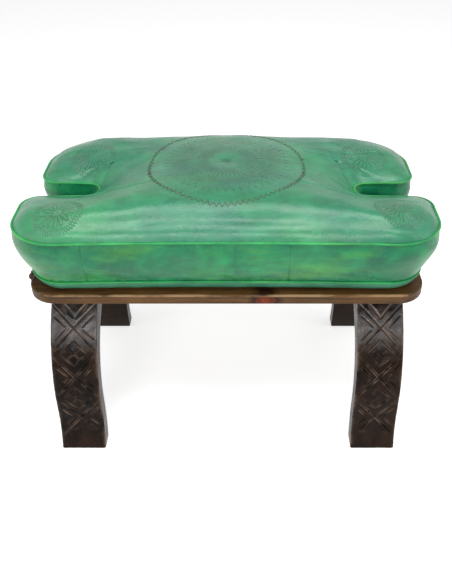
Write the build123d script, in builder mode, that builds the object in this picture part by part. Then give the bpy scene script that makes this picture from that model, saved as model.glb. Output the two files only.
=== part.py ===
from build123d import *
from math import atan2, cos, degrees, radians, sin, tan
import os

os.makedirs("parts", exist_ok=True)

# A camel saddle stool: two arches of curved legs, two side boards and a loose leather cushion.
# Lengths are in millimetres. +Z is up, +X runs along the seat and -Y is the front.
# The origin is on the floor, under the middle of the seat.

# Arches: each is two curved legs, halved together at the crest, with a low pommel on top
arch_span = 522
leg_width = 68
seat_height = 262
foot_reach = 168
foot_thickness = 28
foot_flare = 13
flare_height = 65
shank_thickness = 24
shoulder_height = 85
shoulder_radius = 190
rafter_slope = 40
springing_height = 88
heel_height = 60
foot_chamfer = 2
lap_length = 104
joint_gap = 0.2

# Pommel: the stub that stands up through the seat and holds the cushion's notch
pommel_base = 28
pommel_tip = 22
pommel_height = 68
pommel_crown = 8

# Pegs through the halved crest
peg_radius = 5
peg_spacing = 28
peg_height = 236
peg_proud = 1.5
peg_clearance = 0.1

# Side boards
board_length = 562
board_width = 119
board_thickness = 15
board_corner_radius = 40
board_inner_radius = 6
board_arris = 2
board_gap = 2.5

# Screws that hold the boards to the crest
screw_radius = 2
screw_head_radius = 4.2
screw_head_angle = 82
screw_length = 40
screw_tip = 5
screw_reach = 33
screw_clearance = 0.15
screw_recess = 0.3

# Cushion, measured at its upper seam
cushion_length = 584
cushion_depth = 300
cushion_corner_radius = 65
cushion_front_dip = 4
crown_height = 50
boxing_height = 73
lower_seam_rise = 20
notch_side_gap = 6
notch_end_gap = 7
notch_mouth_radius = 26
notch_flare = 3
flank_middle = 40
flank_middle_rise = 25
flank_run = 102
flank_rise = 40
flank_reach = 180
flank_top_rise = 53
leather_thickness = 2
stuffing_clearance = 0.5
rest_clearance = 0.3
piping_radius = 2.5
upper_piping_gap = 0.4
lower_piping_gap = 0.8

# Boxing: how far the side bulges under the upper seam and draws in to the lower one
side_bulge = 2
side_draw_in = 17
underside_draw_in = 16

# Places of the boxing's upright seams along X
seam_left = -208
seam_right = 86

# Knot of the leather thong that hangs from the lower seam, at the left front corner
knot_radius = 6.5
knot_y = -100
thong_radius = 1.6
thong_length = 3

# Shapes of the cushion's crown, from the seam up to the middle, as shares of the seam's sizes:
# rise, length, depth, corner, mouth, notch width, notch end
crown_shares = (
    (0.00, 1.000, 1.000, 1.00, 1.00, 1.00, 1.000),
    (0.14, 0.998, 0.996, 0.99, 0.98, 1.06, 0.997),
    (0.28, 0.992, 0.984, 0.97, 0.96, 1.17, 0.990),
    (0.42, 0.980, 0.960, 0.93, 0.94, 1.32, 0.978),
    (0.56, 0.956, 0.914, 0.87, 0.92, 1.50, 0.958),
    (0.70, 0.910, 0.835, 0.78, 0.88, 1.68, 0.925),
    (0.82, 0.855, 0.745, 0.66, 0.80, 1.76, 0.880),
    (0.92, 0.780, 0.635, 0.52, 0.68, 1.80, 0.815),
    (1.00, 0.680, 0.520, 0.35, 0.55, 1.80, 0.720),
)

# Shapes of the side, from the lower seam to the upper: rise, share of the draw-in, of the bulge
side_shares = (
    (0.00, 1.00, 0.00),
    (0.18, 0.72, 0.20),
    (0.36, 0.42, 0.50),
    (0.55, 0.16, 0.85),
    (0.73, 0.00, 1.00),
    (0.88, 0.00, 0.70),
    (1.00, 0.00, 0.00),
)

# Shapes of the underside, from where it rests to the lower seam: rise, share of its draw-in
underside_shares = ((0.00, 1.00), (0.18, 0.55), (0.48, 0.20), (1.00, 0.00))

# How much of the side's draw-in the notch takes, and the most of their room that the arcs take
notch_draw_share = 0.4
notch_room_share = 0.6
mouth_room_share = 0.35
corner_room_share = 0.9

# Reaches of the arch's faces from its middle, taken from the foot's reach
shank_reach = foot_reach - foot_flare
arch_radius = shank_reach - shank_thickness
heel_reach = foot_reach - foot_thickness


def arch_profile(x):
    """Closed outline of a whole arch, on the plane at this X.

    The outer face flares at the foot, stands upright, bends over at the shoulder and runs up
    as a straight rafter to the level seat. The inner face is a round arch.
    """
    shank_foot = (-shank_reach, flare_height)
    with BuildSketch(Plane.YZ.offset(x)) as profile:
        with BuildLine():
            TangentArc(shank_foot, (-foot_reach, 0), tangent=(0, -1))
            Line(shank_foot, (-shank_reach, shoulder_height))
            shoulder = JernArc((-shank_reach, shoulder_height), (0, 1), shoulder_radius, rafter_slope - 90)
            rafter_run = (seat_height - (shoulder @ 1).Y) / tan(radians(rafter_slope))
            seat_edge = ((shoulder @ 1).X + rafter_run, seat_height)
            Line(shoulder @ 1, seat_edge)
            tip_edge = (-pommel_tip / 2, seat_height + pommel_height - pommel_crown)
            tip_middle = (0, seat_height + pommel_height)
            Polyline(seat_edge, (-pommel_base / 2, seat_height), tip_edge)
            TangentArc(tip_middle, tip_edge, tangent=(-1, 0))
            inner_foot = (-arch_radius, heel_height)
            TangentArc(inner_foot, (-heel_reach, 0), tangent=(0, -1))
            Line((-heel_reach, 0), (-foot_reach, 0))
            Line(inner_foot, (-arch_radius, springing_height))
            CenterArc((0, springing_height), arch_radius, 90, 90)
            mirror(about=Plane.YZ)
        make_face()
    return profile.sketch


# Four legs. In each arch one leg keeps the outer half of the crest and the other the inner half.
half_lap = lap_length / 2
arch_top = seat_height + pommel_height
board_top = seat_height + board_thickness
screw_bottom = board_top - screw_recess - screw_length
for side, side_sign in (("left", -1), ("right", 1)):
    x_middle = side_sign * (arch_span - leg_width) / 2
    x_low = x_middle - leg_width / 2
    for end, end_sign in (("front", -1), ("rear", 1)):
        with BuildPart() as leg:
            extrude(arch_profile(x_low), amount=leg_width)
            lap_end = Plane.XZ.offset(end_sign * (half_lap - joint_gap))
            split(bisect_by=lap_end, keep=Keep.TOP if end == "front" else Keep.BOTTOM)
            # Half the width is cut away where the other leg passes
            cut_sign = side_sign * end_sign
            with Locations((x_middle + cut_sign * leg_width / 4, 0, arch_top / 2)):
                Box(leg_width / 2 + joint_gap, lap_length, arch_top, mode=Mode.SUBTRACT)
            # Bores for the pegs, along X
            with BuildSketch(Plane.YZ.offset(x_low)):
                with Locations((-peg_spacing / 2, peg_height), (peg_spacing / 2, peg_height)):
                    Circle(peg_radius + peg_clearance)
            extrude(amount=leg_width, mode=Mode.SUBTRACT)
            # Bores for the board screws, up from the screw's tip through the level seat
            screw_x = x_middle - cut_sign * leg_width / 4
            with BuildSketch(Plane.XY.offset(screw_bottom - screw_clearance)):
                with Locations((screw_x, -screw_reach), (screw_x, screw_reach)):
                    Circle(screw_radius + screw_clearance)
            extrude(amount=screw_length, mode=Mode.SUBTRACT)
            chamfer(leg.faces().sort_by(Axis.Z)[0].edges(), foot_chamfer)
        leg.part.label = "leg_" + end + "_" + side
        export_step(leg.part, "parts/" + leg.part.label + ".step")

# Pegs: two through the crest of each arch, standing a little proud of the outer faces
peg_places = []
for side_sign in (-1, 1):
    for peg_sign in (-1, 1):
        peg_x = side_sign * (arch_span - leg_width) / 2
        peg_places.append((peg_x, peg_sign * peg_spacing / 2, peg_height))
with BuildPart() as crest_pegs:
    with Locations(*peg_places):
        Cylinder(peg_radius, leg_width + 2 * peg_proud, rotation=(0, 90, 0))
    chamfer(crest_pegs.edges().filter_by(GeomType.CIRCLE), peg_proud / 2)
crest_pegs.part.label = "crest_pegs"
export_step(crest_pegs.part, "parts/crest_pegs.step")

# Places of the board screws, one in each half of each crest
screw_places = []
for side_sign in (-1, 1):
    for half_sign in (-1, 1):
        screw_x = (side_sign * (arch_span - leg_width) + half_sign * leg_width / 2) / 2
        screw_places.append(screw_x)

# Two side boards, lying on the level seats on either side of the pommels
board_inner = pommel_base / 2 + board_gap
sink_slope = tan(radians(screw_head_angle / 2))
sink_radius = screw_head_radius + screw_clearance + screw_recess * sink_slope
for end, end_sign in (("front", -1), ("rear", 1)):
    with BuildPart() as board:
        with BuildSketch(Plane.XY.offset(seat_height)) as board_plan:
            with Locations((0, end_sign * (board_inner + board_width / 2))):
                Rectangle(board_length, board_width)
            outer_first = board_plan.vertices().sort_by(Axis.Y, reverse=end == "rear")
            fillet(outer_first[:2], board_corner_radius)
            fillet(outer_first[2:], board_inner_radius)
        extrude(amount=board_thickness)
        fillet(board.faces().sort_by(Axis.Z)[-1].edges(), board_arris)
        fillet(board.faces().sort_by(Axis.Z)[0].edges(), board_arris / 2)
        with Locations(*[(x, end_sign * screw_reach, board_top) for x in screw_places]):
            hole_radius = screw_radius + screw_clearance
            CounterSinkHole(hole_radius, sink_radius, board_thickness, screw_head_angle)
    board.part.label = "side_board_" + end
    export_step(board.part, "parts/" + board.part.label + ".step")

# Wood screws, turned about their own axis, heads just under the boards' top
with BuildPart() as board_screws:
    for end_sign in (-1, 1):
        for x in screw_places:
            with BuildSketch(Plane.XZ.offset(-end_sign * screw_reach)):
                with BuildLine():
                    head = (x, board_top - screw_recess)
                    rim = (x + screw_head_radius, board_top - screw_recess)
                    neck = (x + screw_radius, rim[1] - (screw_head_radius - screw_radius) / sink_slope)
                    taper = (x + screw_radius, screw_bottom + screw_tip)
                    tip = (x, screw_bottom)
                    Polyline(head, rim, neck, taper, tip, close=True)
                make_face()
            revolve(axis=Axis((x, end_sign * screw_reach, 0), (0, 0, 1)))
board_screws.part.label = "board_screws"
export_step(board_screws.part, "parts/board_screws.step")


def cushion_plan(height, wall, half_length, half_depth, corner, mouth, notch, notch_end):
    """Face of the cushion's plan at one height, this far inside the leather's face.

    The long sides dip in towards their middle and the corners are round. A notch runs in from each
    end to notch_end, with a round end of this radius, walls that open a little and a round mouth.
    One quarter is drawn and mirrored. Going inside moves every arc about its own centre.
    """
    room = half_length - notch_end
    notch = min(notch, notch_room_share * room)
    mouth = min(mouth, mouth_room_share * room)
    flare = radians(notch_flare)
    notch_x = notch_end + notch
    mouth_x = half_length - mouth
    mouth_y = (mouth + notch) / cos(flare) + (mouth_x - notch_x) * tan(flare)
    corner = min(corner, (half_depth - mouth_y) * corner_room_share)
    corner_x = half_length - corner
    corner_y = half_depth - corner
    dip = cushion_front_dip
    dip_radius = (corner_x**2 - 2 * corner * dip + dip**2) / (2 * dip)
    dip_y = half_depth - dip + dip_radius
    turn = degrees(atan2(dip_y - corner_y, corner_x))
    with BuildSketch(Plane.XY.offset(height)) as plan:
        with BuildLine():
            CenterArc((0, -dip_y), dip_radius + wall, turn, 90 - turn)
            CenterArc((corner_x, -corner_y), corner - wall, turn + 180, 180 - turn)
            Line((half_length - wall, -corner_y), (half_length - wall, -mouth_y))
            round_mouth = CenterArc((mouth_x, -mouth_y), mouth - wall, 0, 90 - notch_flare)
            round_end = CenterArc((notch_x, 0), notch + wall, 180, 90 - notch_flare)
            Line(round_mouth @ 1, round_end @ 1)
            mirror(about=Plane.XZ)
            mirror(about=Plane.YZ)
        make_face()
    return plan.sketch


# Sizes of the cushion's plan at the upper seam. The notch clears the pommel on every side.
seam_half_length = cushion_length / 2
seam_half_depth = cushion_depth / 2
seam_notch = pommel_base / 2 + notch_side_gap
seam_notch_end = arch_span / 2 - leg_width - notch_end_gap
underside_height = board_top + rest_clearance
lower_seam_height = board_top + lower_seam_rise
upper_seam_height = lower_seam_height + boxing_height


def crown_faces(wall):
    """Plans of the crown from the upper seam to its top, this far inside the leather's face."""
    return [
        cushion_plan(
            upper_seam_height + rise * (crown_height - wall),
            wall,
            seam_half_length * length,
            seam_half_depth * depth,
            cushion_corner_radius * corner,
            notch_mouth_radius * mouth,
            seam_notch * notch,
            seam_notch_end * notch_end,
        )
        for rise, length, depth, corner, mouth, notch, notch_end in crown_shares
    ]


def drawn_in_plan(height, draw_in, wall):
    """Plan of the side or the underside, drawn in from the upper seam, this far inside its face."""
    return cushion_plan(
        height,
        wall,
        seam_half_length - draw_in,
        seam_half_depth - draw_in,
        cushion_corner_radius - draw_in,
        notch_mouth_radius - draw_in * notch_draw_share,
        seam_notch + draw_in * notch_draw_share,
        seam_notch_end - draw_in * notch_draw_share,
    )


def side_faces(wall):
    """Plans of the boxing from the lower seam to the upper one, this far inside the leather's face."""
    return [
        drawn_in_plan(
            lower_seam_height + share * boxing_height,
            side_draw_in * draw - side_bulge * bulge,
            wall,
        )
        for share, draw, bulge in side_shares
    ]


def underside_faces(wall):
    """Plans of the underside from its rest to the lower seam, this far inside the leather's face."""
    rest_height = underside_height + wall
    rise = lower_seam_height - rest_height
    return [
        drawn_in_plan(rest_height + share * rise, side_draw_in + underside_draw_in * draw, wall)
        for share, draw in underside_shares
    ]


def flank_profile(plane, wall, whole):
    """The space over a notch, cut across, or its half: beside it the crown rises as an arc and a line."""
    slope = atan2(flank_rise, flank_run)
    foot_y = seam_notch + wall * sin(slope)
    foot_z = upper_seam_height - wall * cos(slope)
    foot = (foot_y, foot_z)
    middle = (foot_y + flank_middle, foot_z + flank_middle_rise)
    bend = (foot_y + flank_run, foot_z + flank_rise)
    top = (foot_y + flank_reach, foot_z + flank_top_rise)
    over = foot_z + 2 * flank_top_rise
    with BuildSketch(plane) as profile:
        with BuildLine():
            ThreePointArc(foot, middle, bend)
            Polyline(bend, top, (top[0], over), (0, over))
            Line((0, foot_z), foot)
            if whole:
                mirror(about=Plane.YZ)
            else:
                Line((0, foot_z), (0, over))
        make_face()
    return profile.sketch


def crown(wall):
    """The crown this far inside the leather's face, less the long low flanks over its notches.

    A flank's profile turns round the notch's inner end and runs straight out past the cushion's end.
    """
    with BuildPart() as solid:
        loft(crown_faces(wall), ruled=True)
        for side_sign in (-1, 1):
            end = (side_sign * (seam_notch_end + seam_notch), 0, 0)
            along = (side_sign, 0, 0)
            half = flank_profile(Plane(origin=end, x_dir=along, z_dir=(0, -side_sign, 0)), wall, False)
            revolve(half, axis=Axis(end, (0, 0, 1)), mode=Mode.SUBTRACT)
            section = flank_profile(Plane(origin=end, x_dir=(0, side_sign, 0), z_dir=along), wall, True)
            extrude(section, amount=seam_half_length, dir=along, mode=Mode.SUBTRACT)
    return solid.part


# Leather on the top: the crown less the space inside it
with BuildPart() as top_panel:
    add(crown(0))
    add(crown(leather_thickness), mode=Mode.SUBTRACT)
top_panel.part.label = "top_panel"
export_step(top_panel.part, "parts/top_panel.step")

# Leather underneath, flat where it lies on the boards
with BuildPart() as bottom_panel:
    loft(underside_faces(0), ruled=True)
    loft(underside_faces(leather_thickness), ruled=True, mode=Mode.SUBTRACT)
bottom_panel.part.label = "bottom_panel"
export_step(bottom_panel.part, "parts/bottom_panel.step")

# Boxing: the side strip, sewn from four lengths that meet at upright seams
with BuildPart() as boxing:
    loft(side_faces(0), ruled=True)
    loft(side_faces(leather_thickness), ruled=True, mode=Mode.SUBTRACT)
seam_run = seam_right - seam_left
seam_middle = (seam_right + seam_left) / 2
boxing_middle = lower_seam_height + boxing_height / 2
for name, y_sign in (("front", -1), ("rear", 1)):
    with BuildPart() as strip:
        add(boxing.part)
        with Locations((seam_middle, y_sign * seam_half_depth, boxing_middle)):
            Box(seam_run, seam_half_depth, boxing_height, mode=Mode.INTERSECT)
    strip.part.label = "boxing_" + name
    export_step(strip.part, "parts/" + strip.part.label + ".step")
for name, kept in (("left", Keep.BOTTOM), ("right", Keep.TOP)):
    with BuildPart() as strip:
        add(boxing.part)
        with Locations(*[(seam_middle, y, boxing_middle) for y in (-seam_half_depth, seam_half_depth)]):
            Box(seam_run, seam_half_depth, boxing_height, mode=Mode.SUBTRACT)
        split(bisect_by=Plane.YZ.offset(seam_middle), keep=kept)
    strip.part.label = "boxing_" + name
    export_step(strip.part, "parts/" + strip.part.label + ".step")

# Stuffing, which fills the leather
with BuildPart() as stuffing:
    stuffing_wall = leather_thickness + stuffing_clearance
    loft(underside_faces(stuffing_wall), ruled=True)
    loft(side_faces(stuffing_wall), ruled=True)
    add(crown(stuffing_wall))
stuffing.part.label = "stuffing"
export_step(stuffing.part, "parts/stuffing.step")

# Piping: a round cord in a leather sleeve along each seam
upper_out = piping_radius + upper_piping_gap
lower_out = piping_radius + lower_piping_gap
upper_path = drawn_in_plan(upper_seam_height, 0, -upper_out).face().outer_wire()
lower_path = drawn_in_plan(lower_seam_height, side_draw_in, -lower_out).face().outer_wire()
for name, path in (("upper_piping", upper_path), ("lower_piping", lower_path)):
    with BuildPart() as piping:
        with BuildSketch(Plane(origin=path @ 0, z_dir=path % 0)) as section:
            Circle(piping_radius)
        sweep(path=path)
    section_volume = path.length * section.sketch.area
    print(name, "volume over section times length:", piping.part.volume / section_volume)
    piping.part.label = name
    export_step(piping.part, "parts/" + name + ".step")

# Knot of the thong, hanging from the lower piping at the left front corner
knot_corner = cushion_corner_radius - side_draw_in + lower_out
knot_corner_x = seam_half_length - cushion_corner_radius
knot_rise = knot_y + seam_half_depth - cushion_corner_radius
knot_x = -knot_corner_x - (knot_corner**2 - knot_rise**2) ** (1 / 2)
thong_top = lower_seam_height - piping_radius - stuffing_clearance
with BuildPart() as thong_knot:
    with Locations((knot_x, knot_y, thong_top - thong_length - knot_radius)):
        Sphere(knot_radius)
    with Locations((knot_x, knot_y, thong_top)):
        Cylinder(thong_radius, thong_length + knot_radius, align=(Align.CENTER, Align.CENTER, Align.MAX))
thong_knot.part.label = "thong_knot"
export_step(thong_knot.part, "parts/thong_knot.step")
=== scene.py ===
# %% [markdown]
# # A camel saddle stool
#
# A low stool of two carved wooden arches with boards across them, and a loose leather cushion on top.
# The cushion is notched at both ends, where it drops over the frame's two pommels.
# The solid model was packed first, so every new surface below is put where that model already is.

# %% Load the frame
import bpy
import numpy as np
from math import cos, pi, radians, sin, tan
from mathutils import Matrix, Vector


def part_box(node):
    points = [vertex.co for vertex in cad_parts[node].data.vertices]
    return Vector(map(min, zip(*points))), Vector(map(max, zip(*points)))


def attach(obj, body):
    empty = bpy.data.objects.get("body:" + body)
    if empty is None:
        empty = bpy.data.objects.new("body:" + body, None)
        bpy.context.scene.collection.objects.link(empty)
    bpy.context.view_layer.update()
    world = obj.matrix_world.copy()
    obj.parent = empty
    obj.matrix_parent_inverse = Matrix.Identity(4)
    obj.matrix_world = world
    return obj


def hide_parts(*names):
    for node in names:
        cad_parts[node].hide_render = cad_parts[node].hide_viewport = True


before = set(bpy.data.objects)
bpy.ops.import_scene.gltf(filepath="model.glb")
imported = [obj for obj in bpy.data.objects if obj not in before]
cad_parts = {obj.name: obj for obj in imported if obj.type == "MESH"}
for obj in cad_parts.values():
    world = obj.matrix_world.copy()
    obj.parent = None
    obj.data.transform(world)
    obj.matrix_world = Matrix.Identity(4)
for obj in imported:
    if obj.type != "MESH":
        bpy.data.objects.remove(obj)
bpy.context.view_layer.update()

# %% [markdown]
# ## One helper for every surface
#
# A surface here is a grid of points: rows one way and columns the other, worked out with numpy.
# The helper turns such a grid into a mesh. It can close the grid round on itself, as on a tube, and
# cap its two ends. Sizes are in millimetres while they are worked out, and become metres here.

# %% Grid of points to a mesh
MM = 0.001


def grid_faces(rows, columns, close_rows, close_columns):
    """Each face joins point (i, j) to its next neighbours in both directions, wrapping if closed."""
    i = np.arange(rows if close_rows else rows - 1)
    j = np.arange(columns if close_columns else columns - 1)
    i, j = np.meshgrid(i, j, indexing="ij")
    i_next, j_next = (i + 1) % rows, (j + 1) % columns
    corners = (i * columns + j, i * columns + j_next, i_next * columns + j_next, i_next * columns + j)
    return np.stack(corners, axis=-1).reshape(-1, 4)


def surface(name, grid, close_rows=False, close_columns=False, cap_first=False, cap_last=False,
            flip=False, sharp=40, attributes=None):
    """A mesh object from a grid of points in millimetres. Attributes are one number a point."""
    rows, columns = grid.shape[:2]
    faces = grid_faces(rows, columns, close_rows, close_columns)
    if flip:
        faces = faces[:, ::-1]
    faces = faces.tolist()
    ring = np.arange(columns)
    first, last = ring[::-1], ring + (rows - 1) * columns
    if cap_first:
        faces.append((first[::-1] if flip else first).tolist())
    if cap_last:
        faces.append((last[::-1] if flip else last).tolist())
    mesh = bpy.data.meshes.new(name)
    mesh.from_pydata((grid.reshape(-1, 3) * MM).tolist(), [], faces)
    mesh.shade_smooth()
    mesh.set_sharp_from_angle(angle=radians(sharp))
    for key, values in (attributes or {}).items():
        layer = mesh.attributes.new(key, "FLOAT", "POINT")
        layer.data.foreach_set("value", np.asarray(values, dtype=np.float32).reshape(-1))
    mesh.validate()
    piece = bpy.data.objects.new(name, mesh)
    bpy.context.scene.collection.objects.link(piece)
    return piece


def smooth_table(at, knots, rows):
    """Cubic curve through each column of a small table: Hermite pieces, slopes from neighbours."""
    knots, rows = np.asarray(knots, float), np.asarray(rows, float)
    slope = np.gradient(rows, knots, axis=0)
    k = np.clip(np.searchsorted(knots, at, side="right") - 1, 0, len(knots) - 2)
    span = (knots[k + 1] - knots[k])[:, None]
    u = ((at - knots[k])[:, None]) / span
    low, high = rows[k], rows[k + 1]
    return ((1 + 2 * u) * (1 - u) ** 2 * low + u * (1 - u) ** 2 * span * slope[k]
            + u * u * (3 - 2 * u) * high + u * u * (u - 1) * span * slope[k + 1])


def unit(vectors):
    """The same directions, one long: each vector over its own length."""
    return vectors / np.linalg.norm(vectors, axis=-1, keepdims=True)


def round_steps(path):
    """From the point before to the point after, at each point of a closed path."""
    return np.roll(path, -1, axis=0) - np.roll(path, 1, axis=0)


def smoothstep(x, low, high):
    """0 below low, 1 above high, and an S between."""
    u = np.clip((x - low) / (high - low), 0, 1)
    return u * u * (3 - 2 * u)


def ripples(x, y, scale, seed, count=9):
    """Gentle uneven waves between about -1 and 1: a sum of sines in chance directions."""
    chance = np.random.default_rng(seed)
    turn = chance.uniform(0, 2 * pi, count)
    size = scale * chance.uniform(0.6, 1.6, count)
    start = chance.uniform(0, 2 * pi, count)
    wave = 0
    for a, s, p in zip(turn, size, start):
        wave = wave + np.sin((x * cos(a) + y * sin(a)) * 2 * pi / s + p)
    return wave / count ** 0.5 / 1.4


# %% [markdown]
# ## Camera
#
# The camera comes first, because every later choice is judged through it. Its height, distance,
# tilt and lens were worked out from the object's own straight and round features. It looks straight
# ahead from a little to the right of the middle, with its lens shifted back, so that level edges
# stay level in the picture.

# %% Camera
camera_place = (22 * MM, -955 * MM, 880 * MM)
camera_tilt = 36.08
camera_data = bpy.data.cameras.new("camera")
camera_data.lens = 45
camera_data.shift_x = -0.0274
camera = bpy.data.objects.new("camera", camera_data)
camera.location = camera_place
camera.rotation_euler = (radians(90 - camera_tilt), 0, 0)
bpy.context.scene.collection.objects.link(camera)
bpy.context.scene.camera = camera
bpy.context.scene.view_settings.view_transform = "Standard"
print("camera at", camera_place)

# %% [markdown]
# ## Short calls for materials
#
# A material is a small graph of nodes. These helpers add a node, set its numbers and join its inputs
# in one line, so that a finish reads as a recipe: noise, then a colour ramp, then the shader.

# %% Material helpers


class Finish:
    """One material's graph. Each call adds a node and gives back the output that is used next."""

    def __init__(self, name):
        self.material = bpy.data.materials.new(name)
        self.material.use_nodes = True
        self.tree = self.material.node_tree
        self.shader = self.tree.nodes["Principled BSDF"]
        self.place = self.add("ShaderNodeTexCoord").outputs["Object"]

    def add(self, kind, settings=None, **inputs):
        """A node with these settings and inputs. An input is named, or i and its number."""
        node = self.tree.nodes.new(kind)
        for key, value in (settings or {}).items():
            setattr(node, key, value)
        for key, value in inputs.items():
            self.put(node, int(key[1:]) if key[0] == "i" and key[1:].isdigit() else key, value)
        return node

    def put(self, node, socket, value):
        """Join an input to another node's output, or set its number."""
        if isinstance(value, bpy.types.NodeSocket):
            self.tree.links.new(value, node.inputs[socket])
        else:
            node.inputs[socket].default_value = value

    def stretched(self, x, y, z):
        """Object coordinates, stretched along each axis."""
        return self.add("ShaderNodeMapping", i0=self.place, i3=(x, y, z)).outputs[0]

    def noise(self, scale, detail=4, rough=0.55, place=None, twist=0.0):
        """Cloudy noise, about half of it above 0.5."""
        node = self.add("ShaderNodeTexNoise", Vector=place or self.place, Scale=scale, Detail=detail,
                        Roughness=rough, Distortion=twist)
        return node.outputs[0]

    def ramp(self, factor, *stops):
        """Numbers or colours at places from 0 to 1."""
        node = self.add("ShaderNodeValToRGB", i0=factor)
        elements = node.color_ramp.elements
        while len(elements) < len(stops):
            elements.new(0.5)
        for element, (place, colour) in zip(elements, stops):
            element.position = place
            shade = (colour,) * 3 if isinstance(colour, (int, float)) else colour
            element.color = (*shade, 1)
        return node.outputs[0]

    def mix(self, factor, a, b, blend="MIX"):
        """Two colours blended by a factor."""
        node = self.add("ShaderNodeMix", {"data_type": "RGBA", "blend_type": blend})
        for socket, value in ((0, factor), (6, a), (7, b)):
            if isinstance(value, tuple):
                value = (*value, 1)
            self.put(node, socket, value)
        return node.outputs[2]

    def sum(self, a, b, operation="ADD", clamped=False):
        """Two numbers added, or joined by another operation."""
        settings = {"operation": operation, "use_clamp": clamped}
        return self.add("ShaderNodeMath", settings, i0=a, i1=b).outputs[0]

    def attribute(self, name):
        """A number stored at each point of the mesh."""
        return self.add("ShaderNodeAttribute", {"attribute_name": name}).outputs["Fac"]

    def bump(self, height, distance, strength=1.0, below=None):
        """A surface direction tilted by a height, on top of another bump if one is given."""
        node = self.add("ShaderNodeBump", Height=height, Distance=distance, Strength=strength)
        if below is not None:
            self.put(node, "Normal", below)
        return node.outputs[0]

    def finish(self, colour, rough, normal=None):
        """Join the shader's colour, roughness and direction, and give back the material."""
        for key, value in (("Base Color", colour), ("Roughness", rough), ("Normal", normal)):
            if value is not None:
                if isinstance(value, tuple):
                    value = (*value, 1)
                self.put(self.shader, key, value)
        return self.material


def srgb(red, green, blue):
    """A colour as seen on screen, 0 to 255, made linear for the shader."""
    c = np.array([red, green, blue]) / 255
    return tuple(float(v) for v in np.where(c < 0.04045, c / 12.92, ((c + 0.055) / 1.055) ** 2.4))


# %% [markdown]
# ## Floor
#
# The object stands on a plain white floor. To the camera and in reflections the floor glows a little,
# so that it reads as pure white like the backdrop and still keeps the shadow under the stool.

# %% Floor
floor_span = 8000
floor_glow = 0.58
across = np.linspace(-floor_span / 2, floor_span / 2, 2)
floor_x, floor_y = np.meshgrid(across, across, indexing="ij")
floor = surface("floor", np.stack([floor_x, floor_y, 0 * floor_x], axis=-1), flip=True)
paper = Finish("paper")
rays = paper.add("ShaderNodeLightPath")
glow = paper.sum(rays.outputs["Is Camera Ray"], rays.outputs["Is Glossy Ray"], "MAXIMUM")
glow = paper.sum(glow, rays.outputs["Is Transmission Ray"], "MAXIMUM")
paper.finish((0.9, 0.9, 0.9), 0.9)
paper.put(paper.shader, "Specular IOR Level", 0.0)
paper.put(paper.shader, "Emission Color", (1, 1, 1, 1))
paper.put(paper.shader, "Emission Strength", paper.sum(glow, floor_glow, "MULTIPLY"))
floor.data.materials.append(paper.material)

# %% [markdown]
# ## World and lamps
#
# A wide soft lamp hangs over the stool and another shines from the front, so that rounded shoulders
# and the polished tops of the legs catch broad highlights. Two weak ones fill in from the sides. The
# world is white to the camera and in reflections, and much dimmer where it lights the object.

# %% World and lamps
world = bpy.data.worlds.new("studio")
world.use_nodes = True
bpy.context.scene.world = world
sky = world.node_tree.nodes["Background"]
path = world.node_tree.nodes.new("ShaderNodeLightPath")
level = world.node_tree.nodes.new("ShaderNodeMapRange")
world_level = 0.3
level.inputs["To Min"].default_value = world_level
level.inputs["To Max"].default_value = 1
seen = path.outputs["Is Camera Ray"]
for ray in ("Is Glossy Ray", "Is Transmission Ray"):
    higher = world.node_tree.nodes.new("ShaderNodeMath")
    higher.operation = "MAXIMUM"
    world.node_tree.links.new(seen, higher.inputs[0])
    world.node_tree.links.new(path.outputs[ray], higher.inputs[1])
    seen = higher.outputs[0]
world.node_tree.links.new(seen, level.inputs["Value"])
world.node_tree.links.new(level.outputs[0], sky.inputs["Strength"])
sky.inputs["Color"].default_value = (1, 1, 1, 1)


def lamp(name, place, target, width, height, power):
    """A soft panel at a place, turned to face a target."""
    data = bpy.data.lights.new(name, "AREA")
    data.shape, data.size, data.size_y, data.energy = "RECTANGLE", width, height, power
    holder = bpy.data.objects.new(name, data)
    holder.location = place
    aim = np.array(target) - np.array(place)
    holder.rotation_euler = Vector(aim).to_track_quat("-Z", "Y").to_euler()
    bpy.context.scene.collection.objects.link(holder)


lamp("lamp_above", (0.1, -0.5, 2.0), (0, 0, 0.3), 2.2, 0.75, 27)
lamp("lamp_front", (-0.1, -1.9, 1.15), (0, 0, 0.3), 1.6, 0.55, 20)
lamp("lamp_left", (-1.7, -0.6, 0.9), (0, 0, 0.25), 0.9, 0.9, 3)
lamp("lamp_right", (1.7, -0.5, 0.9), (0, 0, 0.25), 0.9, 0.9, 3)

# %% [markdown]
# ## The cushion's outline
#
# Seen from above, the cushion is a long rounded rectangle with a narrow notch in each end, and its
# long sides dip in a little. Every level of the cushion, from the flat underside to the crown, is this
# outline with other sizes. So the whole cushion is one family of closed curves, and a surface on it
# needs only two parameters: how far round, and which level.

# %% Outline of one level
cushion_length, cushion_depth = 584, 300
upper_seam, lower_seam, rest = 370, 297, 277.3
crown_height = 46
corner_radius, mouth_radius = 65, 26
notch_half_width, notch_end = 20, 186
notch_flare = radians(3)
front_dip, rear_shortening = 4, 14
segment_shares = (0.46, 0.2, 0.075, 0.08, 0.125, 0.06)


def segment_counts(count):
    """How many of the points each stretch of a quarter gets."""
    counts = [int(round(count / 4 * share)) for share in segment_shares]
    counts[0] += count // 4 - sum(counts)
    return counts


def all_round(front, rear, far_x):
    """The closed curve from its two right quarters, which both end at far_x on the middle line. The
    rear one is turned over, and both are mirrored to the left."""
    (fx, fy), (rx, ry), zero = front, rear, 0 * far_x
    x = [fx, far_x, rx[:, :0:-1], -rx, -far_x, -fx[:, :0:-1]]
    y = [fy, zero, -ry[:, :0:-1], -ry, zero, fy[:, :0:-1]]
    return np.stack([np.concatenate(x, axis=1), np.concatenate(y, axis=1)], axis=-1)


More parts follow.
